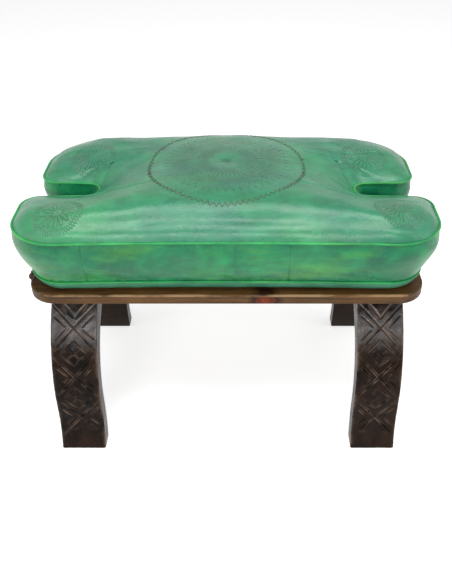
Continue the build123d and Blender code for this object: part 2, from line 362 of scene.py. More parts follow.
def arc(centre_x, centre_y, radius, start, sweep, share):
    """Points on an arc: the centre plus the radius turned from start, in degrees, by a sweep."""
    angle = np.radians(start + sweep * share)
    return centre_x + radius * np.cos(angle), centre_y + radius * np.sin(angle)


def quarter(count, half_length, half_depth, corner, mouth, notch, end, wall):
    """From the middle of the front to the notch's inner end: a long shallow arc, the corner's arc, a
    straight end, the notch's mouth arc, its straight wall and a quarter of its round end."""
    notch_x, mouth_x = end + notch, half_length - mouth
    mouth_y = (mouth + notch) / cos(notch_flare) + (mouth_x - notch_x) * tan(notch_flare)
    corner = np.minimum(corner, (half_depth - mouth_y) * 0.9)
    corner_x, corner_y = half_length - corner, half_depth - corner
    dip = front_dip * half_depth / (cushion_depth / 2)
    dip_radius = (corner_x**2 - 2 * corner * dip + dip**2) / (2 * dip)
    dip_y = half_depth - dip + dip_radius
    turn = np.degrees(np.arctan2(dip_y - corner_y, corner_x))
    flare = np.degrees(notch_flare)
    steps = [(np.arange(n) / n)[None, :] for n in segment_counts(count)]
    one = np.ones_like(half_length)
    mouth_stop = arc(mouth_x, -mouth_y, mouth - wall, 90 - flare, 0, one)
    notch_start = arc(notch_x, 0 * one, notch + wall, 270 - flare, 0, one)
    parts = [
        arc(0 * one, -dip_y, dip_radius + wall, 90, turn - 90, steps[0]),
        arc(corner_x, -corner_y, corner - wall, turn + 180, 180 - turn, steps[1]),
        (half_length - wall + 0 * steps[2], -corner_y + (corner_y - mouth_y) * steps[2]),
        arc(mouth_x, -mouth_y, mouth - wall, 0, 90 - flare, steps[3]),
        tuple(a + (b - a) * steps[4] for a, b in zip(mouth_stop, notch_start)),
        arc(notch_x, 0 * one, notch + wall, 270 - flare, flare - 90, steps[5]),
    ]
    return np.concatenate([p[0] for p in parts], axis=1), np.concatenate([p[1] for p in parts], axis=1)


def outline(count, half_length, half_depth, corner, mouth, notch, end, wall=0.0):
    """Closed curves, one a row, that go right round from the middle of the front. The rear half is
    a little shorter. Going inside by a wall moves each arc about its own centre."""
    sizes = (half_length, half_depth, corner, mouth, notch, end)
    sizes = [np.asarray(v, float).reshape(-1, 1) for v in sizes]
    half_length, half_depth, corner, mouth, notch, end = sizes
    room = half_length - rear_shortening - end
    mouth, notch = np.minimum(mouth, 0.5 * room), np.minimum(notch, 0.6 * room)
    front = quarter(count, half_length, half_depth, corner, mouth, notch, end, wall)
    rear = quarter(count, half_length - rear_shortening, half_depth, corner, mouth, notch, end, wall)
    return all_round(front, rear, end - wall)


seam_line = outline(400, cushion_length / 2, cushion_depth / 2, corner_radius, mouth_radius,
                    notch_half_width, notch_end)[0]
seam_steps = np.linalg.norm(np.roll(seam_line, -1, axis=0) - seam_line, axis=1)
print("seam length, mm:", round(seam_steps.sum()), "steps from", seam_steps.min().round(2), "to",
      seam_steps.max().round(2))

# %% [markdown]
# ## Levels of the cushion
#
# From its middle underneath to its seam on top, the cushion is a stack of levels. Underneath it is
# flat where it lies on the boards. Its side bulges a little under the upper seam and draws in to the
# lower one. The crown rises steeply from the seam and then rounds over to a broad, nearly flat top.
# A small table gives the sizes of a few levels, and a cubic curve through the table gives the rest.
#
# Round each notch the leather is held down, so the crown rises from there as a long low flank. Its
# height depends only on how far a place is from the notch's middle line. The crown is the lower of
# the two heights, with the edge between them rounded off.

# %% Tables of levels
crown_table = (
    # rise, length, depth, corner, mouth, notch width and notch end, as shares of the seam's sizes
    (0.00, 1.000, 1.000, 1.00, 1.00, 1.00, 1.000),
    (0.14, 0.985, 0.996, 0.98, 1.18, 1.10, 0.988),
    (0.28, 0.966, 0.984, 0.95, 1.34, 1.30, 0.965),
    (0.42, 0.941, 0.960, 0.90, 1.46, 1.58, 0.935),
    (0.56, 0.904, 0.914, 0.84, 1.50, 1.90, 0.885),
    (0.70, 0.850, 0.835, 0.76, 1.42, 2.20, 0.810),
    (0.82, 0.774, 0.745, 0.66, 1.20, 2.30, 0.715),
    (0.92, 0.675, 0.635, 0.52, 0.90, 2.30, 0.570),
)
table_length, table_depth = 197, 95  # half sizes of the crown where its table ends
dome_height, dome_fall = 1.04, 0.12  # shares of the crown's height, at the middle and lost out there
end_fall, end_reach = 0.2, 190  # the share lost at the ends, and how far out they begin
rear_fall, rear_reach = 0.11, 110
level_rounds = 90  # the square of the number of levels over this is how often they are evened out
# Distance from a notch's middle line, and the flank's rise there
flank_table = ((20, 0), (30, 7.7), (45, 17.3), (60, 24.8), (90, 35.5), (122, 44), (160, 54), (200, 64),
               (320, 90))
middle_length, middle_depth = 96, 66
middle_turns = (-42, -35.8, -35.3, -31, -28.5, 0)
draw_in = 17
side_table = ((0.00, draw_in), (0.18, 11.8), (0.36, 6.1), (0.55, 1.0), (0.73, -2.0), (0.88, -1.4),
              (1.00, 0.0))
under_table = ((0.00, 16.0), (0.18, 8.8), (0.48, 3.2), (1.00, 0.0))
seam_sizes = np.array([cushion_length / 2, cushion_depth / 2, corner_radius, mouth_radius,
                       notch_half_width, notch_end], float)


def travelled(*coordinates):
    """Length along a line of points, from its first point to each of them."""
    steps = np.sqrt(sum(np.diff(c) ** 2 for c in coordinates))
    return np.concatenate([[0], np.cumsum(steps)])


def drawn_in(amount):
    """Sizes of a level drawn in from the upper seam: the notch opens by two fifths as much."""
    amount = np.asarray(amount, float)[:, None]
    return seam_sizes - amount * np.array([1, 1, 1, 0.4, -0.4, 0.4])


def flank(x, y):
    """Rise of the long low flank: a curve of the distance from the nearer notch's middle line."""
    beyond = np.maximum(notch_end + notch_half_width - np.abs(x), 0)
    table = np.array(flank_table, float)
    away = np.clip(np.hypot(beyond, y), table[0, 0], table[-1, 0])
    return smooth_table(away.ravel(), table[:, 0], table[:, 1:])[:, 0].reshape(x.shape)


def soft_least(a, b, sharpness=5):
    """The lower of two heights with the edge between them rounded: a b over their power mean."""
    return a * b / np.maximum((a**sharpness + b**sharpness) ** (1 / sharpness), 1e-9)


def middle_outline(count):
    """A plain rounded shape for the crown's middle, a power curve in polar form.

    Its points are shared out so that the straight line from each to its partner on the notched
    outline passes beside the notch.
    """
    counts = segment_counts(count)
    run = middle_depth / tan(radians(-middle_turns[0]))
    turns = [np.degrees(np.arctan2(-middle_depth, run * np.arange(counts[0]) / counts[0]))]
    for n, start, stop in zip(counts[1:], middle_turns[:-1], middle_turns[1:]):
        turns.append(start + (stop - start) * np.arange(n) / n)
    turn = np.radians(np.concatenate(turns))[None, :]
    power = 5
    reach = (np.abs(np.cos(turn) / middle_length) ** power + np.abs(np.sin(turn) / middle_depth) ** power)
    reach = reach ** (-1 / power)
    quarter_way = reach * np.cos(turn), reach * np.sin(turn)
    return all_round(quarter_way, quarter_way, np.array([[float(middle_length)]]))[0]


def crown_grid(counts, columns):
    """The crown in three stretches of rows, from the seam to its middle.

    First come the notched levels of the table, evened out so that no row of it shows. Then every
    point moves straight towards its partner on the plain middle shape, and last that shape shrinks
    to a point. On the way the height passes over to a dome, which falls off with the third power
    of both distances from the middle.
    """
    table = np.array(crown_table)
    along = travelled(table[:, 0] * crown_height, table[:, 2] * seam_sizes[1])
    made = smooth_table(np.linspace(0, along[-1], counts[0]), along, table)
    for _ in range(round(counts[0] ** 2 / level_rounds)):
        made[1:-1] = (made[:-2] + 2 * made[1:-1] + made[2:]) / 4
    edge = outline(columns, *(made[:, 1:] * seam_sizes).T)
    move = (np.arange(counts[1]) + 1)[:, None, None] / counts[1]
    shrink = (np.arange(counts[2]) + 1)[:, None, None] / counts[2]
    middle = middle_outline(columns)
    flat = np.concatenate([edge, edge[-1] + (middle - edge[-1]) * move, middle * (1 - 0.995 * shrink)])
    move, shrink = move[:, 0], shrink[:, 0]
    rise = np.concatenate([made[:, :1], made[-1, 0] + 0.15 * move - 0.07 * move**2, 0 * shrink])
    dome = dome_height - dome_fall * (np.abs(flat[..., 0]) / table_length) ** 3
    dome = dome - dome_fall * (np.abs(flat[..., 1]) / table_depth) ** 3
    rise = rise + (dome - rise) * np.concatenate([0 * made[:, :1], smoothstep(move, 0, 1), 1 + 0 * shrink])
    fall = end_fall * np.minimum(np.abs(flat[..., 0]) / end_reach, 1) ** 2
    fall = fall + rear_fall * smoothstep(flat[..., 1], 0, rear_reach)
    level = np.maximum(rise, 0) * crown_height * (1 - fall)
    tall = upper_seam + soft_least(level, flank(flat[..., 0], flat[..., 1]))
    return np.concatenate([flat, tall[..., None]], axis=-1)


def stretch_ends(counts):
    """The first row and the last row of each of the crown's three stretches."""
    return np.cumsum([0, counts[0] - 1, counts[1], counts[2]])


def side_levels(count):
    """Height and sizes of the side's levels, from the lower seam up to the upper one."""
    table = np.array(side_table)
    share = np.linspace(0, 1, count)
    inward = smooth_table(share, table[:, 0], table[:, 1:])[:, 0]
    return lower_seam + share * (upper_seam - lower_seam), drawn_in(inward)


def under_levels(count, flat_count):
    """Levels of the underside: closed curves that grow from the middle, then rise to the seam."""
    table = np.array(under_table)
    share = np.linspace(0, 1, count)
    inward = draw_in + smooth_table(share, table[:, 0], table[:, 1:])[:, 0]
    edge = drawn_in(inward)
    inner = edge[0] * np.linspace(0.01, 1, flat_count, endpoint=False)[:, None]
    height = np.concatenate([np.full(flat_count, rest), rest + share * (lower_seam - rest)])
    return height, np.concatenate([inner, edge])


def levels_grid(height, sizes, columns):
    """The grid of a stack of levels: each row is one outline at its height."""
    flat = outline(columns, *sizes.T)
    tall = np.broadcast_to(height[:, None, None], (*flat.shape[:2], 1))
    return np.concatenate([flat, tall], axis=-1)


def grid_normals(grid):
    """Outward directions: the cross product of the steps round and up, made one long."""
    around = np.roll(grid, -1, axis=1) - np.roll(grid, 1, axis=1)
    up = np.gradient(grid, axis=0)
    normal = np.cross(around, up)
    return normal / np.maximum(np.linalg.norm(normal, axis=-1, keepdims=True), 1e-9)


# %% [markdown]
# ## Letting the leather settle
#
# Real leather over stuffing isn't a perfect curve: it strains at the seams and goes slack between
# them. A coarse copy of the whole cushion is filled with pressure by the cloth solver for twenty
# steps. Its seams and its resting face are pinned, and no point may go further than a few millimetres.
# Only the movement along the surface's own direction is kept, evened out, and it is carried over to the
# fine surfaces with cubic curves.

# %% Settle a coarse cushion
settle_columns = 320
under_rows, flat_rows, side_rows = 7, 12, 15
coarse_crown = (16, 9, 14)
settle_cap, settle_wave = 3.5, 60


def coarse_cushion():
    """Underside, side and crown as one closed stack of levels, with the rows of the two seams."""
    parts = [under_levels(under_rows, flat_rows), side_levels(side_rows)]
    height = np.concatenate([parts[0][0], parts[1][0][1:]])
    sizes = np.concatenate([parts[0][1], parts[1][1][1:]])
    low = under_rows + flat_rows - 1
    lower = levels_grid(height, sizes, settle_columns)
    return np.concatenate([lower, crown_grid(coarse_crown, settle_columns)[1:]]), low, low + side_rows - 1


def smoothed(grid, moved, pinned):
    """Movement along the surface's own direction only, capped, less its waves shorter than a
    limit. The waves of each row come from its Fourier series, whose lengths follow from the row's
    own length. Then each row takes half of its value from its two neighbours, several times."""
    normal = grid_normals(grid)
    height = np.clip((moved * normal).sum(axis=-1), -settle_cap, settle_cap)
    steps = np.linalg.norm(np.roll(grid, -1, axis=1) - grid, axis=-1)
    waves = np.fft.rfft(height, axis=1)
    shortest = steps.sum(axis=1)[:, None] / np.maximum(np.arange(waves.shape[1]), 1)
    waves = waves * smoothstep(shortest, 0.6 * settle_wave, settle_wave)
    height = np.fft.irfft(waves, n=grid.shape[1], axis=1)
    for _ in range(10):
        height[1:-1] = (height[:-2] + 2 * height[1:-1] + height[2:]) / 4
        height[pinned] = 0
    return normal * height[..., None]


def settle():
    """How far each point of the coarse cushion moves under pressure, capped."""
    grid, low, high = coarse_cushion()
    rows, columns = grid.shape[:2]
    piece = surface("settling", grid, close_columns=True, cap_first=True, cap_last=True, sharp=180)
    held = piece.vertex_groups.new(name="held")
    index = np.arange(rows * columns).reshape(rows, columns)
    held.add(np.concatenate([index[:flat_rows + 2], index[[low, high]]]).ravel().tolist(), 1.0, "REPLACE")
    cloth = piece.modifiers.new("cloth", "CLOTH")
    cloth.settings.quality = 6
    cloth.settings.mass = 0.4
    cloth.settings.tension_stiffness = cloth.settings.compression_stiffness = 40
    cloth.settings.shear_stiffness = 20
    cloth.settings.bending_stiffness = 4
    cloth.settings.use_pressure = True
    cloth.settings.uniform_pressure_force = 4
    cloth.settings.shrink_min = -0.012
    cloth.settings.effector_weights.gravity = 0
    cloth.settings.vertex_group_mass = "held"
    cloth.collision_settings.use_collision = False
    scene = bpy.context.scene
    for step in range(1, 21):
        scene.frame_set(step)
    solved = piece.evaluated_get(bpy.context.evaluated_depsgraph_get()).to_mesh()
    place = np.empty(len(solved.vertices) * 3)
    solved.vertices.foreach_get("co", place)
    moved = place.reshape(rows, columns, 3) / MM - grid
    mesh = piece.data
    bpy.data.objects.remove(piece)
    bpy.data.meshes.remove(mesh)
    scene.frame_set(1)
    return smoothed(grid, moved, [*range(flat_rows), low, high]), low, high


def carried(moved, columns, at_rows):
    """A coarse grid of movements at finer columns and at these rows, by cubic curves both ways."""
    down = smooth_table(at_rows, np.arange(len(moved)), moved.reshape(len(moved), -1))
    down = down.reshape(len(at_rows), -1, 3)
    wrap = 3
    padded = np.concatenate([down[:, -wrap:], down, down[:, :wrap]], axis=1).transpose(1, 0, 2)
    at = wrap + np.arange(columns) * (padded.shape[0] - 2 * wrap) / columns
    across = smooth_table(at, np.arange(padded.shape[0]), padded.reshape(padded.shape[0], -1))
    return across.reshape(columns, len(at_rows), 3).transpose(1, 0, 2)


settled, low_row, high_row = settle()
print("leather moved at most, mm:", np.linalg.norm(settled, axis=-1).max().round(2))

# %% [markdown]
# ## The top panel
#
# The leather is pulled hardest round the inner ends of the notches, so sharp folds run out from there.
# Along the front it stands up in a soft roll over the piping, with a shallow trough behind the roll
# that leaves a darker line between two highlights.
# These are added to the settled surface, each as a height along the surface's own direction.

# %% Folds and rolls of the top
top_columns, top_counts = 960, (52, 18, 30)
# Each fold: depth, half width and three points that its line bends past
folds = (
    (2.6, 5.0, (-187, 6), (-181, 30), (-166, 66)),
    (1.6, 4.0, (-180, 5), (-170, 22), (-148, 40)),
    (1.0, 6.0, (-176, 3), (-140, 12), (-104, 30)),
    (1.1, 4.5, (-188, -16), (-178, -30), (-160, -44)),
    (2.4, 5.0, (185, 6), (172, 30), (150, 74)),
    (1.4, 6.0, (178, 4), (150, 14), (122, 16)),
    (1.5, 7.0, (120, 2), (170, -4), (208, -34)),
    (1.0, 4.5, (189, -14), (196, -28), (206, -36)),
)
roll_wave = ((11, 1.1, 10), (31, -2.1, 9), (53, 1.0, 15))


def fold_height(x, y):
    """A valley with low banks along each fold's curve, deepest near the notch."""
    height = 0 * x
    u = np.linspace(0, 1, 24)[:, None]
    for depth, width, a, b, c in folds:
        curve = (1 - u) ** 2 * np.array(a) + 2 * u * (1 - u) * np.array(b) + u**2 * np.array(c)
        near = (np.abs(x - curve[:, 0].mean()) < 75) & (np.abs(y - curve[:, 1].mean()) < 75)
        away = np.hypot(x[near][:, None] - curve[:, 0], y[near][:, None] - curve[:, 1])
        k = away.argmin(axis=1)
        strength = np.sin(pi * np.clip(u[k, 0] * 0.92 + 0.05, 0, 1)) ** 0.8 * (1 - 0.5 * u[k, 0])
        q = (away.min(axis=1) / width) ** 2
        height[near] -= depth * strength * (1 - 0.8 * q) * np.exp(-q / 2)
    return height


def roll_height(grid):
    """Low waves that run along the seam: bumps and a trough at set distances up from it."""
    up = np.cumsum(np.linalg.norm(np.diff(grid, axis=0, prepend=grid[:1]), axis=-1), axis=0)
    wave = sum(a * np.exp(-(((up - s) / w) ** 2)) for s, a, w in roll_wave)
    front = smoothstep(-grid[..., 1], 60, 125)
    rear = 0.45 * smoothstep(grid[..., 1], 70, 130)
    ends = smoothstep(270 - np.abs(grid[..., 0]), 0, 70)
    uneven = 0.85 + 0.35 * ripples(grid[..., 0], grid[..., 1], 170, 11)
    return wave * (front + rear) * ends * uneven


top = crown_grid(top_counts, top_columns)
top_at = np.interp(np.arange(len(top)), stretch_ends(top_counts), stretch_ends(coarse_crown))
top += carried(settled[high_row:], top_columns, top_at)
fade = smoothstep(np.arange(len(top)), 0, 9)[:, None]
top_x, top_y = top[..., 0], top[..., 1]
relief = fold_height(top_x, top_y) + roll_height(top)
relief += fade * (0.8 * ripples(top_x, top_y, 130, 5) + 0.1 * ripples(top_x, top_y, 36, 6))
top += grid_normals(top) * relief[..., None]
top_edge = top[0] - np.array([0, 0, 1.2]) - grid_normals(top)[0] * 1.6
top_all = np.concatenate([top_edge[None], top])
cushion_top = surface("cushion_top", top_all, close_columns=True, cap_last=True, sharp=75)
print("top panel:", top_all.shape, "height to", top[..., 2].max().round(1), "mm")

# %% [markdown]
# ## The side strip
#
# The side is a strip of the same leather, sewn from four lengths that meet at upright seams: two on
# the front and two behind. At a seam both edges are turned in, so a seam is a fine dark groove, not a
# drawn line. Small puckers stand along the piping, where each stitch gathers the leather a little.

# %% Strips between upright seams
side_columns, side_fine_rows = 1120, 46
column_step = 2.0  # a column's width, about, in millimetres
seam_left_x, seam_right_x = -191, 86
dart_x = 51
edge_steps = np.array([0, 0.12, 0.3, 0.6, 1.0, 1.6, 2.4])
fold_depth = 0.8

side = levels_grid(*side_levels(side_fine_rows), side_columns)
side += carried(settled[low_row:high_row + 1], side_columns, np.linspace(0, side_rows - 1, side_fine_rows))
side_seam = side[-1]
side_x, side_y = side[..., 0], side[..., 1]
round_way = travelled(side_seam[:, 0], side_seam[:, 1])
up_way = np.linspace(0, upper_seam - lower_seam, side_fine_rows)[:, None]
to_seam = np.minimum(up_way, up_way[::-1])
pucker = ripples(round_way[None, :], 0 * up_way, 13, 21) + 0.6 * ripples(round_way[None, :], up_way, 8, 22)
slack = ripples(round_way[None, :], up_way * 1.6, 110, 23) + 0.5 * ripples(round_way[None, :], up_way, 45, 24)
held_in = smoothstep(to_seam, 0, 14)
side_relief = 0.45 * pucker * np.exp(-to_seam / 7) * smoothstep(to_seam, 0, 3) + 0.9 * slack * held_in
dart = np.exp(-((side_x - dart_x) / 1.6) ** 2) * smoothstep(26 - up_way, 0, 16) * (side_y < 0)
side += grid_normals(side) * (side_relief - 0.9 * dart)[..., None]


def column_at(x, front):
    """The column, with a fraction, where the strip passes this X on its front or its rear side."""
    line_x, line_y = side_seam[:, 0], side_seam[:, 1]
    on_side = (line_y < -100) if front else (line_y > 100)
    near = np.where(on_side, np.abs(line_x - x), 1e9)
    k = int(near.argmin())
    gap = line_x[(k + 1) % side_columns] - line_x[k]
    return k + float((x - line_x[k]) / gap)


def strip(name, start, stop):
    """A length of the side from one seam's column to the next, both its ends turned in."""
    if stop < start:
        stop += side_columns
    inner = np.arange(np.ceil(start + 3), stop - 2.5)
    columns = np.concatenate([start + edge_steps, inner, (stop - edge_steps)[::-1]])
    wrap = np.concatenate([side, side, side[:, :4]], axis=1).transpose(1, 0, 2)
    grid = smooth_table(columns, np.arange(len(wrap)), wrap.reshape(len(wrap), -1))
    grid = grid.reshape(len(columns), side_fine_rows, 3).transpose(1, 0, 2)
    around = np.gradient(grid, axis=1)
    outward = unit(np.cross(around, np.gradient(grid, axis=0)))
    from_end = np.minimum(columns - start, stop - columns) * column_step
    turned = fold_depth * np.exp(-(from_end / 0.9) ** 2) + 0.3 * np.exp(-(from_end / 3.5) ** 2)
    grid = grid - outward * turned[None, :, None]
    level = np.array([0, 0, 1.2])
    low, high = grid[0] - outward[0] * 1.8 - level, grid[-1] - outward[-1] * 1.8 + level
    return surface(name, np.concatenate([low[None], grid, high[None]]), sharp=75)


seam_columns = [column_at(seam_left_x, True), column_at(seam_right_x, True),
                column_at(seam_right_x, False), column_at(seam_left_x, False)]
cushion_front = strip("cushion_front_strip", seam_columns[0], seam_columns[1])
cushion_right = strip("cushion_right_strip", seam_columns[1], seam_columns[2])
cushion_rear = strip("cushion_rear_strip", seam_columns[2], seam_columns[3])
cushion_left = strip("cushion_left_strip", seam_columns[3], seam_columns[0])
print("upright seams at columns", [round(c, 1) for c in seam_columns])

# %% [markdown]
# ## The underside
#
# Underneath, plain leather lies flat on the two boards and curls up to the lower seam. A strip of it
# shows from the front, between the lower piping and the board.

# %% Underside
under_columns = 560
under_fine, under_flat = 16, 26
under = levels_grid(*under_levels(under_fine, under_flat), under_columns)
under_x, under_y = under[..., 0], under[..., 1]
above_rest = smoothstep(under[..., 2], rest + 1, lower_seam - 2)
under_relief = 0.8 * above_rest * (1 - above_rest) * 4 * ripples(under_x, under_y, 50, 31)
under += grid_normals(under) * under_relief[..., None]
under[..., 2] = np.maximum(under[..., 2], rest)
under_edge = under[-1] - grid_normals(under)[-1] * 1.2 + np.array([0, 0, 0.6])
cushion_under = surface("cushion_underside", np.concatenate([under, under_edge[None]]),
                        close_columns=True, cap_first=True, sharp=75)
print("underside:", under.shape, "lowest", under[..., 2].min().round(2), "mm")

# %% [markdown]
# ## Piping
#
# Both seams are finished with piping: a cord in a folded sleeve of brighter leather. It is a round
# profile carried along the seam's outline. The sleeve isn't even, so the profile swells and shrinks a
# little.

# %% Piping along the seams
piping_columns, piping_sides = 1000, 14


def tube(centre, outward, upward, radius, sides, name, closed=True):
    """A round profile of this radius carried along a path: the centre plus the radius times
    cosine outward and sine upward."""
    turn = np.linspace(0, 2 * pi, sides, endpoint=False)
    radius = np.broadcast_to(radius, (len(centre),))[:, None, None]
    grid = centre[:, None] + radius * (np.cos(turn)[:, None] * outward[:, None]
                                       + np.sin(turn)[:, None] * upward[:, None])
    return surface(name, grid, close_rows=closed, close_columns=True, cap_first=not closed,
                   cap_last=not closed, sharp=180)


def piping(name, sizes, height, stand_off, radius, seed):
    """The tube round one seam, a little outside the leather and half sunk in its crease."""
    line_2d = outline(piping_columns, *sizes, wall=-stand_off)[0]
    way = travelled(line_2d[:, 0], line_2d[:, 1])
    low = np.full(len(line_2d), float(height)) + 0.35 * ripples(way, 0 * way, 90, seed)
    centre = np.column_stack([line_2d, low])
    upward = np.zeros_like(centre)
    upward[:, 2] = 1
    outward = unit(np.cross(unit(round_steps(centre)), upward))
    swell = 1 + 0.05 * ripples(way, 0 * way, 26, seed + 1)
    swell = radius * (swell + 0.03 * ripples(way, 0 * way, 7, seed + 2))
    return tube(centre, outward, upward, swell, piping_sides, name)


piping_radius = 1.7
upper_piping = piping("cushion_upper_piping", seam_sizes, upper_seam, 0.9, piping_radius, 41)
lower_piping = piping("cushion_lower_piping", drawn_in([draw_in])[0], lower_seam, 1.1, piping_radius, 44)
print("piping radius", piping_radius, "mm")

# %% [markdown]
# ## Stitched ring
#
# Round the sunburst runs a ring of zigzag stitches in dark reddish thread. Each tooth is two straight
# stitches. The thread stands up in the middle of a stitch and goes down into the leather at its ends.
# To lay it on the crowned top, each point takes its height from the nearest points of the surface.

# %% Zigzag stitches
top_points = top.reshape(-1, 3)
top_normals = grid_normals(top).reshape(-1, 3)


def on_top(x, y):
    """Height and outward direction of the top at these places, from the planes of the three
    nearest surface points, weighted by nearness."""
    z, out = np.empty(len(x)), np.empty((len(x), 3))
    close = np.abs(np.hypot(top_points[:, 0], top_points[:, 1]) - np.hypot(x, y).mean()) < 12
    close &= top_normals[:, 2] > 0.3
    points, normals = top_points[close], top_normals[close]
    for chunk in np.array_split(np.arange(len(x)), max(1, len(x) // 400)):
        away = (points[:, 0] - x[chunk, None]) ** 2 + (points[:, 1] - y[chunk, None]) ** 2
        k = np.argpartition(away, 3, axis=1)[:, :3]
        weight = 1 / (np.take_along_axis(away, k, axis=1) + 0.05)
        weight /= weight.sum(axis=1, keepdims=True)
        n, p = normals[k], points[k]
        tall = p[..., 2] - (n[..., 0] * (x[chunk, None] - p[..., 0])
                            + n[..., 1] * (y[chunk, None] - p[..., 1])) / n[..., 2]
        z[chunk] = (tall * weight).sum(axis=1)
        out[chunk] = (n * weight[..., None]).sum(axis=1)
    return z, unit(out)


teeth = 86
points_a_stitch = 8
tooth_reach = 3.2
thread_radius = 0.42
ring_radius = 111
share = np.arange(teeth * 2 * points_a_stitch) / (2 * points_a_stitch)
hand = np.random.default_rng(7).normal(0, 1, (2, teeth * 2 + 1))
hand[:, -1] = hand[:, 0]
corner = np.arange(teeth * 2 + 1) / 2
in_out = np.where(np.arange(teeth * 2 + 1) % 2 == 0, -1, 1) * tooth_reach + 0.3 * hand[0]
ring_r = ring_radius + np.interp(share, corner, in_out)
ring_turn = 2 * pi * np.interp(share, corner, corner + 0.05 * hand[1]) / teeth - pi / 2
ring_x, ring_y = ring_r * np.cos(ring_turn), ring_r * np.sin(ring_turn)
ring_z, ring_out = on_top(ring_x, ring_y)
arch = np.abs(np.sin(pi * share * 2)) ** 0.6
ring_centre = np.column_stack([ring_x, ring_y, ring_z]) + ring_out * (0.4 * arch - 0.2)[:, None]
ring_side = unit(np.cross(round_steps(ring_centre), ring_out))
thin = thread_radius * (0.6 + 0.4 * arch)
stitches = tube(ring_centre, ring_side, ring_out, thin, 6, "cushion_ring_stitches")
print("stitched ring:", teeth, "teeth,", round(2 * pi * ring_radius / teeth, 2), "mm each")

# %% [markdown]
# ## Thong knot
#
# At the left front corner the end of a lacing thong is tied off in a small round button knot. It is a
# leather strand that winds over and under round a ball: as it goes round several times, it also swings
# up and down, and it comes a little nearer and further where it crosses itself.

# %% Thong knot
knot_centre = np.array(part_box("thong_knot")).mean(axis=0) / MM
knot_low, knot_high = np.array(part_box("thong_knot")) / MM
knot_radius = (knot_high[0] - knot_low[0]) / 2
ball = np.array([knot_centre[0], knot_centre[1], knot_low[2] + knot_radius])
turns, swings = 3, 4
u = np.linspace(0, 2 * pi, 260, endpoint=False)
tilt = 0.95 * np.cos(swings * u)
far = knot_radius * (0.71 + 0.07 * np.sin(2 * swings * u))
strand = ball + np.column_stack([far * np.cos(turns * u) * np.cos(tilt),
                                 far * np.sin(turns * u) * np.cos(tilt), far * np.sin(tilt)])
strand_along = unit(round_steps(strand))
strand_side = unit(np.cross(strand_along, strand - ball))
strand_up = np.cross(strand_side, strand_along)
knot = tube(strand, strand_side * 1.3, strand_up, 1.55, 8, "thong_knot_strand")
stem_u = np.linspace(0, 1, 12)[:, None]
stem_top = np.array([knot_centre[0], knot_centre[1], knot_high[2]])
stem_path = ball + (stem_top - ball) * stem_u + np.array([0.6, 0.4, 0]) * np.sin(2 * pi * stem_u)
stem_x, stem_y = np.tile([1.0, 0, 0], (12, 1)), np.tile([0, 1.0, 0], (12, 1))
stem = tube(stem_path, stem_x, stem_y, 1.5, 8, "thong_end", closed=False)
print("knot of", turns, "turns round a ball of", round(knot_radius, 1), "mm")

# %% [markdown]
# ## Carved legs
#
# Each arch is two curved legs that cross at the crest. A leg is a rectangular section carried along
# a curve: one side of the section follows the outer face, which flares at the foot, stands upright
# and bends over into a straight rafter, and the other follows the round inner arch. Where the two
# legs are halved together the section is only half as wide, and in the middle it grows a pommel.

# %% Outline of a leg
leg_width, arch_span = 68, 522
seat_height, pommel_height = 262, 68
pommel_base, pommel_tip, pommel_crown = 14, 11, 8
foot_reach, shank_reach, flare_height, shoulder_height = 168, 155, 65, 85
shoulder_radius, rafter_slope = 190, radians(40)
inner_radius, springing, heel_reach, heel_height = 131, 88, 140, 60
half_lap, joint_gap = 52, 0.2
fine_step, coarse_step = 0.75, 2.5


def outer_face():
    """Points up the outer face, over the pommel and down to the lap's end, as Y and Z."""
    flare = shank_reach - foot_reach
    flare_radius = (flare**2 + flare_height**2) / (-2 * flare)
    foot_sweep = np.arcsin(flare_height / flare_radius)
    bend = pi / 2 - rafter_slope
    bend_y, bend_z = shoulder_radius * cos(bend), shoulder_radius * sin(bend)
    rafter_low = (shoulder_radius - shank_reach - bend_y, shoulder_height + bend_z)
    seat_edge = rafter_low[0] + (seat_height - rafter_low[1]) / tan(rafter_slope)
    crown_radius = (pommel_tip**2 + pommel_crown**2) / (2 * pommel_crown)
    top_z = seat_height + pommel_height

    def steps(length, step):
        """Shares from 0 up to 1, without it, that divide a length into steps of about this size."""
        return np.linspace(0, 1, max(2, int(round(length / step))), endpoint=False)

    t = steps(flare_height, fine_step)
    sweep = foot_sweep * (1 - t)
    runs = [np.column_stack([-shank_reach - flare_radius * (1 - np.cos(sweep)),
                             flare_height - flare_radius * np.sin(sweep)])]
    t = steps(shoulder_height - flare_height, fine_step)
    runs.append(np.column_stack([-shank_reach + 0 * t, flare_height + t * (shoulder_height - flare_height)]))
    t = steps(shoulder_radius * bend, fine_step) * bend
    runs.append(np.column_stack([shoulder_radius - shank_reach - shoulder_radius * np.cos(t),
                                 shoulder_height + shoulder_radius * np.sin(t)]))
    corners = [rafter_low, (seat_edge, seat_height), (-pommel_base, seat_height),
               (-pommel_tip, top_z - pommel_crown)]
    for a, b, step in zip(corners[:-1], corners[1:], (fine_step, coarse_step, coarse_step)):
        a, b = np.array(a), np.array(b)
        t = steps(np.linalg.norm(b - a), step)[:, None]
        runs.append(a + (b - a) * t)
    sweep = np.linspace(-np.arcsin(pommel_tip / crown_radius), 0, 8, endpoint=False)
    runs.append(np.column_stack([crown_radius * np.sin(sweep), top_z - crown_radius * (1 - np.cos(sweep))]))
    near = np.concatenate(runs)
    far = near[near[:, 0] > -half_lap][::-1] * np.array([-1, 1])
    tip = np.array([[half_lap - joint_gap, seat_height - (half_lap + seat_edge) * tan(rafter_slope)]])
    return np.concatenate([near, [[0, top_z]], far[far[:, 0] < half_lap - joint_gap - 0.5], tip])


